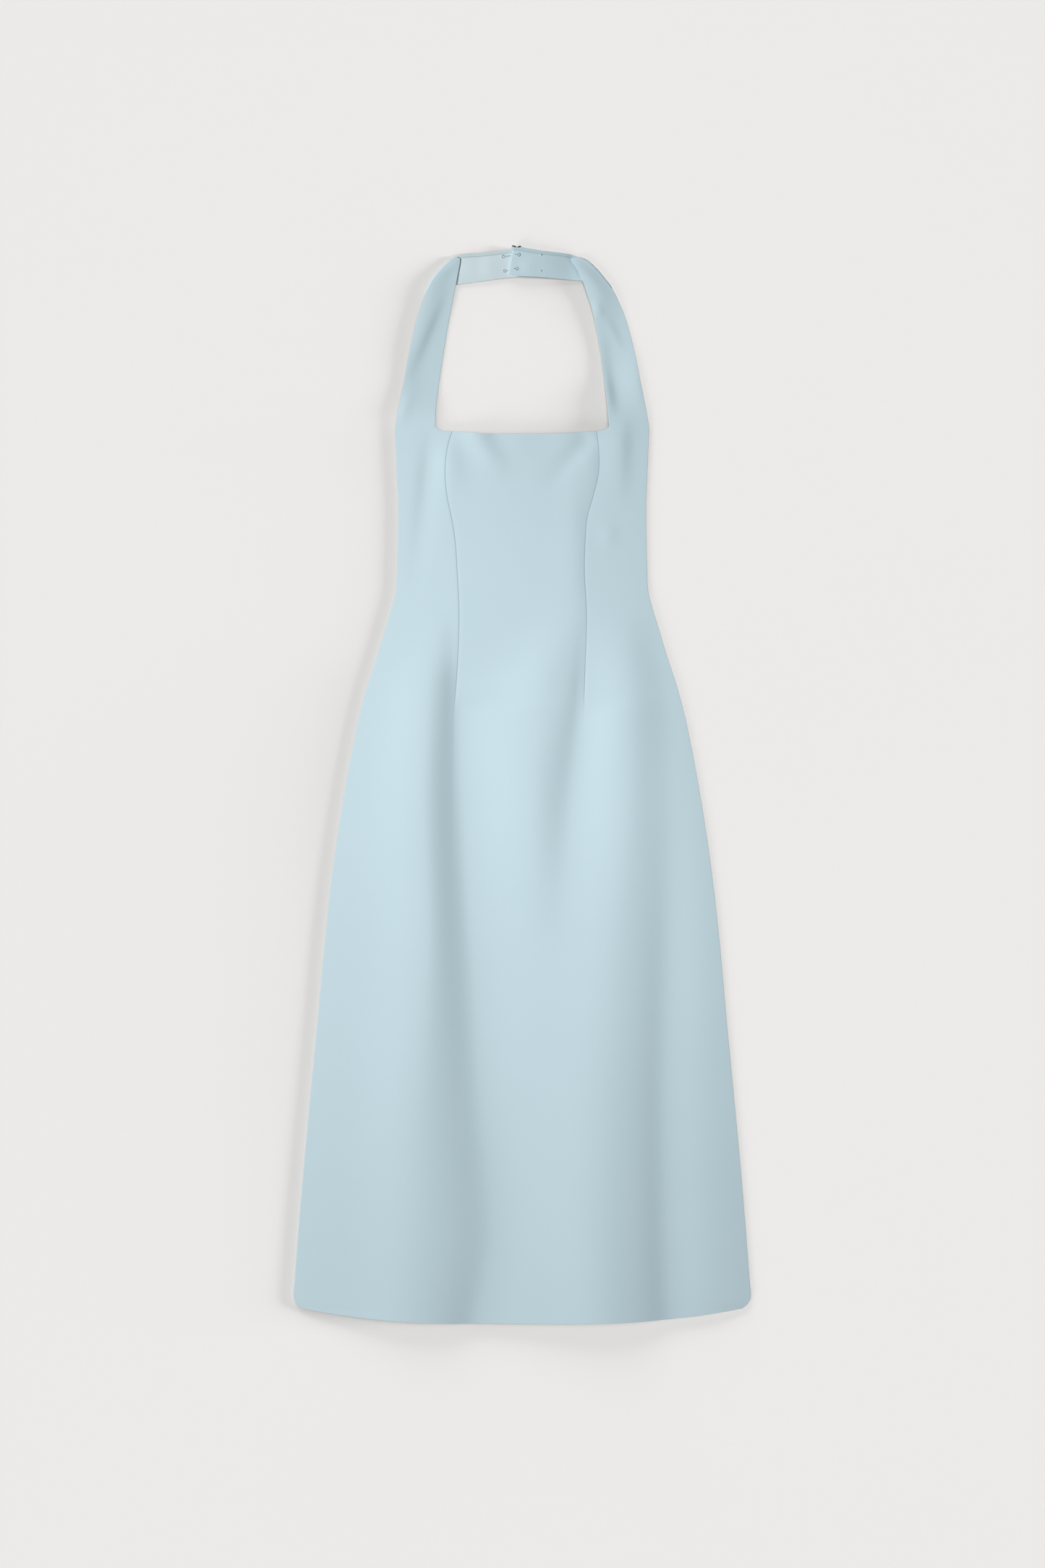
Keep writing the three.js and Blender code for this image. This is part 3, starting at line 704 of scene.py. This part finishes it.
def strap_point(i, j):
    on_left = j <= SIDE_CELLS
    across = (j if on_left else FRONT_COLUMNS - j) / SIDE_CELLS
    along = (i - BODY_ROWS) / STRAP_ROWS_PER_SECTION
    strap = section(STRAP_LEFT if on_left else STRAP_RIGHT, along)
    x = lerp(strap["outer_x"], strap["inner_x"], across)
    up = lerp(strap["outer_up"], strap["inner_up"], across)
    reach = strap["outer_reach"] if across < strap["crest_at"] else strap["inner_reach"]
    ridge = strap["crest"] * bump(across - strap["crest_at"], reach)
    laid = max(0, strap["lift"]) + ridge
    from_body = 1 - ramp(along, 0, STRAP_LEAVES_BODY)
    small = crease_height(FRONT_CREASES, x, up)
    return x, up, max(0, lerp(laid, drape(x, OUTLINE[-1]["up"]), from_body) + small)


def front_point(i, j):
    on_strap = i > BODY_ROWS and (j <= SIDE_CELLS or j >= FRONT_COLUMNS - SIDE_CELLS)
    return strap_point(i, j) if on_strap else body_point(min(i, BODY_ROWS), j)


def dart_groove(i, j):
    """How much of a dart's seam lies at a point of the grid, from 0 to 1, for its groove and its
    painted shade.
    """
    if i > BODY_ROWS:
        return 0
    left = j - SIDE_CELLS - STRAP_CELLS - GROOVE_CELLS / 2
    right = FRONT_COLUMNS - j - SIDE_CELLS - STRAP_CELLS - GROOVE_CELLS / 2
    share = max(0, 1 - min(abs(left), abs(right)) / (GROOVE_CELLS / 2))
    return math.sqrt(share) * ramp(body_row(i)[0], DART_END, DART_END + DART_FADE)


strap_rows = (len(STRAP_LEFT) - 1) * STRAP_ROWS_PER_SECTION
# The darts' grooves are shallow, and the shade of their seam crevices is painted into the colour
# instead
front = cloth_wall(
    "dress-front", (BODY_ROWS + strap_rows, FRONT_COLUMNS), front_point,
    has_cell=lambda i, j: i < BODY_ROWS or not SIDE_CELLS <= j < FRONT_COLUMNS - SIDE_CELLS,
    thick=lambda i, j: CLOTH - DART_DEPTH * dart_groove(i, j), painted_shade=dart_groove,
)
round_edges(front, FRONT_EDGE)


# The shoulder folds
# At the back of the neck each strap turns under along a slanting edge and runs on as the neck
# band. This is the round of that fold, between the strap on top and the band below it.

FOLD_STARTS = 5.6  # section of the strap at which it begins to turn under
FOLD_STEPS = 36
FOLD_SIDES = 10
FOLD_INSET = 0.6
FOLD_NEAR = 0.2  # the edge's direction is taken between sections this far off
FOLD_GROWS = 1  # sections over which it rounds out
FOLD_NARROWS = 0.6  # sections over which it narrows at its end, to the share FOLD_END
FOLD_END = 0.5
FOLD_FLATTEST = 0.6  # the share of its full height where it begins


def shoulder_fold(name, table, side):
    """A half-round bar along a strap's outer edge, from the floor to the strap's top."""
    shape = bmesh.new()
    rings = []
    last = len(table) - 1
    for k in range(FOLD_STEPS + 1):
        at = lerp(FOLD_STARTS, last, k / FOLD_STEPS)
        here = section(table, at)
        before = section(table, at - FOLD_NEAR)
        after = section(table, min(last, at + FOLD_NEAR))
        run_x = after["outer_x"] - before["outer_x"]
        run_up = after["outer_up"] - before["outer_up"]
        run = math.hypot(run_x, run_up)
        out_x, out_up = side * abs(run_up) / run, abs(run_x) / run
        taper = ramp(at, FOLD_STARTS, FOLD_STARTS + FOLD_GROWS)
        taper *= lerp(1, FOLD_END, ramp(at, last - FOLD_NARROWS, last))
        edge = here["crest"] * bump(here["crest_at"], here["outer_reach"])
        top = here["lift"] + edge + CLOTH
        ring = []
        for s in range(FOLD_SIDES + 1):
            angle = math.pi * (0.5 - s / FOLD_SIDES)
            out = top / 2 * math.cos(angle) * taper - FOLD_INSET
            height = top / 2 * (1 + math.sin(angle) * lerp(FOLD_FLATTEST, 1, taper))
            ring.append(shape.verts.new((
                (here["outer_x"] + out * out_x) * MM,
                (here["outer_up"] + out * out_up - LENGTH / 2) * MM, height * MM,
            )))
        rings.append(ring)
    for first, second in zip(rings, rings[1:]):
        for s in range(FOLD_SIDES + 1):
            t = (s + 1) % (FOLD_SIDES + 1)
            shape.faces.new([first[s], second[s], second[t], first[t]])
    shape.faces.new(rings[0])
    shape.faces.new(reversed(rings[-1]))
    bmesh.ops.recalc_face_normals(shape, faces=shape.faces)
    fold = made_object(name, shape)
    fold.data.materials.append(crepe)
    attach(fold, "root")
    cloth_pieces.append(fold)
    return fold


folds = [
    shoulder_fold("shoulder-fold-left", STRAP_LEFT, -1),
    shoulder_fold("shoulder-fold-right", STRAP_RIGHT, 1),
]
dress_piece(
    front, "front", crepe,
)


# The neck band
# Two ends of crepe that run on from the straps behind the neck, wrong side up as the dress lies.
# A row of stitches holds the turned edge below the top, and the right end laps over the left.

LAP = CLOTH + SEAM + 1.1  # the right end lies over the left one and the hooks
BAND_LEFT = rows(
    "top_x top_up low_x low_up lift",
    (-117, 1398.5, -118.5, 1389, 0), (-109.6, 1409, -112.5, 1389.3, 0),
    (-98.9, 1420.1, -105.7, 1390, 0), (-89.2, 1427.4, -97, 1391, 0),
    (-79.5, 1433.2, -88.3, 1392, 0), (-57.2, 1434.6, -59.2, 1395.8, 0),
    (-35.9, 1436.6, -31, 1399.8, 0), (-15.5, 1439.3, -12, 1402, 0), (-3, 1439, -4, 1403, 0),
)
BAND_RIGHT = rows(
    "top_x top_up low_x low_up lift",
    (-12.6, 1443.4, -18.9, 1406.5, LAP - 0.6), (-10.2, 1443.2, -16.2, 1405.6, LAP),
    (-1.9, 1442.4, -5.8, 1403.1, LAP),
    (10, 1440, 6, 1402.7, LAP - 0.3), (26, 1437.4, 22, 1402, LAP - 0.9),
    (42.7, 1435.6, 41.7, 1400.4, 1.2),
    (66, 1432.6, 66, 1398.3, 0), (77, 1427.6, 79.5, 1397.3, 0), (88.3, 1421, 90.2, 1396.5, 0),
    (99.9, 1409.4, 100.9, 1395.8, 0), (109, 1399, 110.6, 1394.4, 0),
)
BAND_LEVELS = (
    0, 0.03, 0.08, 0.16, 0.26, 0.36, 0.46, 0.56, 0.66, 0.76, 0.83, 0.86, 0.88, 0.9, 0.94, 1,
)
BAND_CELLS_PER_SECTION = 5
BAND_STITCHES_AT = 0.88
BAND_STITCH_REACH = 0.015
# Painted shade: a dark line along the band's row of stitches, and a fainter painted shade over the
# turned strip above it, which rolls away from the light
BAND_STITCH_PAINTED_SHADE = 0.75
BAND_STITCH_DEPTH = 0.6
TURNED_EDGE_PAINTED_SHADE = 0.22
BAND_PILLOW = 0.7
BAND_FLATTENS = (-3, 1)  # from before the strap's edge to under it, the band is pressed flat

# The straight part of each strap's inner edge, from below the band to the top, left then right
STRAP_EDGES = rows("x up end_x end_up", (-88.8, 1392, -82.9, 1427), (82, 1395, 66, 1428))

BAND_CREASES = rows(
    "x up end_x end_up height left right swell",
    (-44, 1446, -45, 1386, 1.5, 14, 22, 0.5),
    (-70, 1440, -66, 1390, 0.6, 8, 8, 0.5),
    (30, 1460, 28, 1380, 3, 42, 34, 0.5),
    (4, 1428, 12, 1398, 0.5, 7, 12, 0.4),
)


def past_strap_edge(x, up):
    """How far a point of the band lies under a strap, past the strap's slanting inner edge."""
    edge = STRAP_EDGES[0 if x < 0 else 1]
    at = lerp(edge["x"], edge["end_x"], (up - edge["up"]) / (edge["end_up"] - edge["up"]))
    return at - x if x < 0 else x - at


def neck_band(name, table):
    columns = (len(table) - 1) * BAND_CELLS_PER_SECTION
    sections = [section(table, j / BAND_CELLS_PER_SECTION) for j in range(columns + 1)]

    def lower(i, j):
        cut = sections[j]
        across = BAND_LEVELS[i]
        x = lerp(cut["low_x"], cut["top_x"], across)
        up = lerp(cut["low_up"], cut["top_up"], across)
        pillow = BAND_PILLOW * math.sin(math.pi * across) ** 0.7
        small = crease_height(BAND_CREASES, x, up)
        under_strap = ramp(past_strap_edge(x, up), *BAND_FLATTENS)
        return x, up, max(0, cut["lift"]) + (pillow + small) * (1 - under_strap)

    # Painted shade along the band's row of stitches and over its turned top strip
    def band_painted_shade(i, j):
        turned_edge_shade = TURNED_EDGE_PAINTED_SHADE if BAND_LEVELS[i] > BAND_STITCHES_AT else 0
        stitches = bump(BAND_LEVELS[i] - BAND_STITCHES_AT, BAND_STITCH_REACH)
        return max(turned_edge_shade, BAND_STITCH_PAINTED_SHADE * stitches)

    size = (len(BAND_LEVELS) - 1, columns)
    band = cloth_wall(
        name, size, lower,
        thick=lambda i, j: CLOTH - BAND_STITCH_DEPTH * band_painted_shade(i, j), painted_shade=band_painted_shade,
    )
    round_edges(band, FRONT_EDGE)
    return band


# Both ends lie wrong side up, but only the left takes the wrong side's paler colours: painted light
# on the left end, painted shade on the darker right end
band_halves = (
    ("neck-band-left", BAND_LEFT, wrong_side_painted_light), ("neck-band-right", BAND_RIGHT, crepe),
)
bands = []
for name, table, face in band_halves:
    bands.append(neck_band(name, table))
    dress_piece(
        bands[-1], name.replace("-", "_"), face,
    )


# The hooks and eyes
# Two bent wire hooks are sewn to the left end of the band and two wire eyes to the lapped end.
# They hold the band closed: each is a ring at the stitches and a shank of two wires side by side.

WIRE = 0.4
RING = 1.75
SHANK_HALF = 1.15 * WIRE  # from the shank's middle line to the middle of each of its wires
RING_STEPS = 18
SHANK_STEPS = 5
BEND_STEPS = 6
WIRE_SIDES = 8
METAL = (0.5, 0.62, 0.68, 1)
METAL_WORN = (0.66, 0.76, 0.8, 1)
HOOKS = rows(
    "name x up shank turn band",
    ("hook_upper", -26, 1429.4, 12, 0.12, 0), ("hook_lower", -23.8, 1410.6, 11, 0.05, 0),
    ("eye_upper", -4.9, 1431.5, 5, 3.0, 1), ("eye_lower", -7.5, 1413.2, 4.4, 3.2, 1),
)
SUNK = 0.15  # how deep the wire is pulled into the cloth by its stitches
WIRE_ROOM = 3.4  # how far from its middle a ring with its stitches reaches


def top_of(piece, x, up):
    """Height of the top of a finished piece round one point, in millimetres."""
    return max(
        v.co.z / MM for v in piece.data.vertices
        if math.hypot(v.co.x / MM - x, v.co.y / MM + LENGTH / 2 - up) < WIRE_ROOM
    )


for hook in HOOKS:
    hook["lift"] = top_of(bands[hook["band"]], hook["x"], hook["up"]) - SUNK

wire_look = Look("satin wire")
place = wire_look.node("ShaderNodeTexCoord", output="Object")
rub = wire_look.node("ShaderNodeTexNoise", sockets={"Vector": place, "Scale": 700, "Detail": 4})
wire_look.surface(
    Base_Color=wire_look.mix(rub, METAL, METAL_WORN),
    Metallic=0.2,
    Roughness=0.35 + rub * 0.2,
)


def wire_path(hook):
    """A closed line of wire: round the ring, then out along the shank and back."""
    end = hook["shank"] - SHANK_HALF
    start = math.asin(SHANK_HALF / RING)
    points = []
    for k in range(RING_STEPS + 1):
        angle = lerp(start, math.tau - start, k / RING_STEPS)
        points.append((RING * math.cos(angle), RING * math.sin(angle)))
    for k in range(1, SHANK_STEPS + 1):
        points.append((lerp(RING, end, k / SHANK_STEPS), -SHANK_HALF))
    for k in range(1, BEND_STEPS):
        angle = math.pi * (k / BEND_STEPS - 0.5)
        points.append((end + SHANK_HALF * math.cos(angle), SHANK_HALF * math.sin(angle)))
    for k in range(SHANK_STEPS):
        points.append((lerp(end, RING, k / SHANK_STEPS), SHANK_HALF))
    cos, sin = math.cos(hook["turn"]), math.sin(hook["turn"])
    return [
        (
            (hook["x"] + x * cos - y * sin) * MM,
            (hook["up"] + x * sin + y * cos - LENGTH / 2) * MM,
            (hook["lift"] + WIRE) * MM,
        )
        for x, y in points
    ]


# The bent ends of the two hooks, where they stand just over the top edge of the lapped end
HOOK_TIPS = rows("x up end_x end_up", (-13, 1443.6, -9, 1442.6), (-5.4, 1442.2, -2.2, 1443.2))
TIP = {"wire": 0.95, "lift": LAP + CLOTH + 0.7, "bend": 0.9, "steps": 8}
# The ends are nearly black, far darker than the hooks' wire: partly their own dark metal, partly
# painted shade of the notch where they stand over the band's edge
TIP_GREY_AND_SHADE = (0.03, 0.034, 0.038, 1)
TIP_WORN = (0.1, 0.108, 0.115, 1)

tip_look = Look("bent wire ends")
place = tip_look.node("ShaderNodeTexCoord", output="Object")
rub = tip_look.node("ShaderNodeTexNoise", sockets={"Vector": place, "Scale": 900, "Detail": 3})
tip_look.surface(
    Base_Color=tip_look.mix(rub, TIP_GREY_AND_SHADE, TIP_WORN), Metallic=0.3, Roughness=0.35 + rub * 0.2
)


def bent_tip(tip):
    points = []
    for k in range(TIP["steps"] + 1):
        share = k / TIP["steps"]
        height = TIP["lift"] + TIP["bend"] * math.sin(math.pi * share)
        x = lerp(tip["x"], tip["end_x"], share)
        up = lerp(tip["up"], tip["end_up"], share)
        points.append((x * MM, (up - LENGTH / 2) * MM, height * MM))
    return tube("tip", points, TIP["wire"] * MM, WIRE_SIDES)


tips = joined("hook-tips", [bent_tip(tip) for tip in HOOK_TIPS])
tips.data.materials.append(tip_look.material)
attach(tips, "root")
cloth_pieces.append(tips)

for hook in HOOKS:
    name = hook["name"].replace("_", "-")
    piece = tube(name, wire_path(hook), WIRE * MM, WIRE_SIDES, closed=True)
    piece.data.materials.append(wire_look.material)
    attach(piece, "root")
    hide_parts(hook["name"])
    cloth_pieces.append(piece)


# The stitches that hold the hooks and eyes
# Short bars of sewing thread, laid over each ring from its middle outwards, and two small knots
# farther along the right end where the thread was finished off.

SEWING = {"radius": 0.28, "sides": 6, "steps": 6, "sunk": 0.1}
HOOK_BARS = {"count": 5, "first": 72, "apart": 54, "inner": 0.9, "outer": RING + 0.9, "rise": 1}
KNOT_BARS = {"count": 3, "first": 20, "apart": 60, "inner": -1.2, "outer": 1.2, "rise": 0.5}
THREAD_BLUE = (0.52, 0.67, 0.73, 1)
THREAD_PALE = (0.66, 0.79, 0.84, 1)
KNOTS = rows("x up", (25.2, 1431.7), (25.2, 1410.4))

thread_look = Look("sewing thread")
place = thread_look.node("ShaderNodeTexCoord", output="Object")
twist = thread_look.node("ShaderNodeTexNoise", sockets={"Vector": place, "Scale": 2200, "Detail": 1})
thread_look.surface(
    Base_Color=thread_look.mix(twist, THREAD_BLUE, THREAD_PALE),
    Roughness=0.6 + twist * 0.2,
    Sheen_Weight=0.2,
    Normal=thread_look.node(
        "ShaderNodeBump", sockets={"Strength": 0.5, "Distance": 0.1 * MM, "Height": twist}
    ),
)


def stitch(place, lift, angle, bar):
    """One bar of thread that goes down into the cloth at both ends."""
    points = []
    for k in range(SEWING["steps"] + 1):
        share = k / SEWING["steps"]
        out = lerp(bar["inner"], bar["outer"], share)
        height = lift + bar["rise"] * math.sin(math.pi * share) - SEWING["sunk"]
        points.append((
            (place["x"] + out * math.cos(angle)) * MM,
            (place["up"] + out * math.sin(angle) - LENGTH / 2) * MM, height * MM,
        ))
    return tube("stitch", points, SEWING["radius"] * MM, SEWING["sides"])


def star(place, lift, turn, bar):
    """The bars of thread round one ring or knot."""
    angles = [turn + math.radians(bar["first"] + bar["apart"] * k) for k in range(bar["count"])]
    return [stitch(place, lift, angle, bar) for angle in angles]


bars = []
for hook in HOOKS:
    bars += star(hook, hook["lift"], hook["turn"], HOOK_BARS)
for knot in KNOTS:
    bars += star(knot, top_of(bands[1], knot["x"], knot["up"]), 0, KNOT_BARS)
sewing = joined("hook-stitches", bars)
sewing.data.materials.append(thread_look.material)
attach(sewing, "root")
cloth_pieces.append(sewing)


# The floor
# A plain pale board, wide enough to fill the view from every side.

FLOOR_SIZE = 80  # in metres, as is the gap that keeps it clear of the cloth
FLOOR_GAP = 0.0004
FLOOR_WARM = (0.572, 0.567, 0.557, 1)
FLOOR_COOL = (0.562, 0.56, 0.552, 1)

board = bmesh.new()
bmesh.ops.create_grid(board, x_segments=16, y_segments=16, size=FLOOR_SIZE / 2)
floor = made_object("floor", board)
floor.location.z = -FLOOR_GAP
floor_look = Look("pale board")
place = floor_look.node("ShaderNodeTexCoord", output="Object")
clouds = floor_look.node("ShaderNodeTexNoise", sockets={"Vector": place, "Scale": 1.5, "Detail": 3})
floor_look.surface(
    Base_Color=floor_look.mix(clouds, FLOOR_COOL, FLOOR_WARM),
    Roughness=0.85 + clouds * 0.05,
    Specular_IOR_Level=0.1,
)
floor.data.materials.append(floor_look.material)


# The light
# One large soft lamp stands to the left of the dress and draws its folds. The floor has its own
# lights, from overhead and low from three sides, for an even ground and a soft edge all round.

KEY_PLACE = (-7.0, 0.7, 5.2)  # the lamps' places are in metres from the middle of the dress
KEY_STRENGTH = 3.11
KEY_WIDE = 14
KEY_LIGHT = (1, 0.985, 0.965)
FILL_PLACE = (0.05, 0.08, 0.9)
FILL_SIZE = 0.3
FILL_POWER = 2.0
FILL_LIGHT = (1, 1, 1)
ROOM_LIGHT = (0.9, 0.96, 1.03, 1)
ROOM_STRENGTH = 0.152
FLOOR_LIGHT = (1, 0.985, 0.975)

# The floor's lights: where each stands, how strong it is and how wide it looks, in degrees
FLOOR_LIGHTS = rows(
    "name place strength wide",
    ("above", (0.2, 0.2, 3), 2.22, 40),
    ("from the right", (3.0, 0, 0.38), 7.0, 12),
    ("from the hem", (-1.3, -1.1, 0.62), 1.35, 24),
    ("from the neck", (-0.9, 3.0, 0.87), 2.4, 28),
)


def lamp(name, kind, place, aim, strength, colour, receivers):
    data = bpy.data.lights.new(name, kind)
    data.energy = strength
    data.color = colour
    made = bpy.data.objects.new(name, data)
    made.location = place
    away = [p - a for p, a in zip(place, aim)]
    flat = math.hypot(away[0], away[1])
    made.rotation_euler = (math.atan2(flat, away[2]), 0, math.atan2(away[0], -away[1]))
    bpy.context.collection.objects.link(made)
    lit = bpy.data.collections.new(name + " lights")
    for piece in receivers:
        lit.objects.link(piece)
    made.light_linking.receiver_collection = lit
    made.visible_camera = False
    return data


key = lamp("key", "SUN", KEY_PLACE, (0, 0, 0), KEY_STRENGTH, KEY_LIGHT, cloth_pieces)
key.angle = math.radians(KEY_WIDE)
below_fill = (FILL_PLACE[0], FILL_PLACE[1], 0)
fill = lamp("fill", "AREA", FILL_PLACE, below_fill, FILL_POWER, FILL_LIGHT, cloth_pieces)
fill.shape = "DISK"
fill.size = FILL_SIZE
for light in FLOOR_LIGHTS:
    strength = light["strength"]
    sun = lamp(light["name"], "SUN", light["place"], (0, 0, 0), strength, FLOOR_LIGHT, [floor])
    sun.angle = math.radians(light["wide"])

room = bpy.data.worlds.new("room")
room.use_nodes = True
room.node_tree.nodes["Background"].inputs["Color"].default_value = ROOM_LIGHT
room.node_tree.nodes["Background"].inputs["Strength"].default_value = ROOM_STRENGTH
bpy.context.scene.world = room


# The camera
# It looks straight down at the dress from above its middle, with the neck band at the top.

SENSOR = 36
LENS = 85
PICTURE = (1445, 2168)  # the photo, in pixels
PIXEL = 0.97 * MM  # the size of one of its pixels on the cloth
CENTRE_LINE_PX = 722
HEM_PX = 1829

camera = bpy.data.objects.new("camera", bpy.data.cameras.new("camera"))
camera.data.sensor_width = SENSOR
camera.data.lens = LENS
camera.data.clip_end = 50
camera.location = (
    (PICTURE[0] / 2 - CENTRE_LINE_PX) * PIXEL,
    (HEM_PX - PICTURE[1] / 2) * PIXEL - LENGTH * MM / 2,
    PICTURE[1] * PIXEL / 2 / (SENSOR / 2 / LENS),
)
bpy.context.collection.objects.link(camera)
bpy.context.scene.camera = camera
bpy.context.scene.view_settings.view_transform = "Standard"
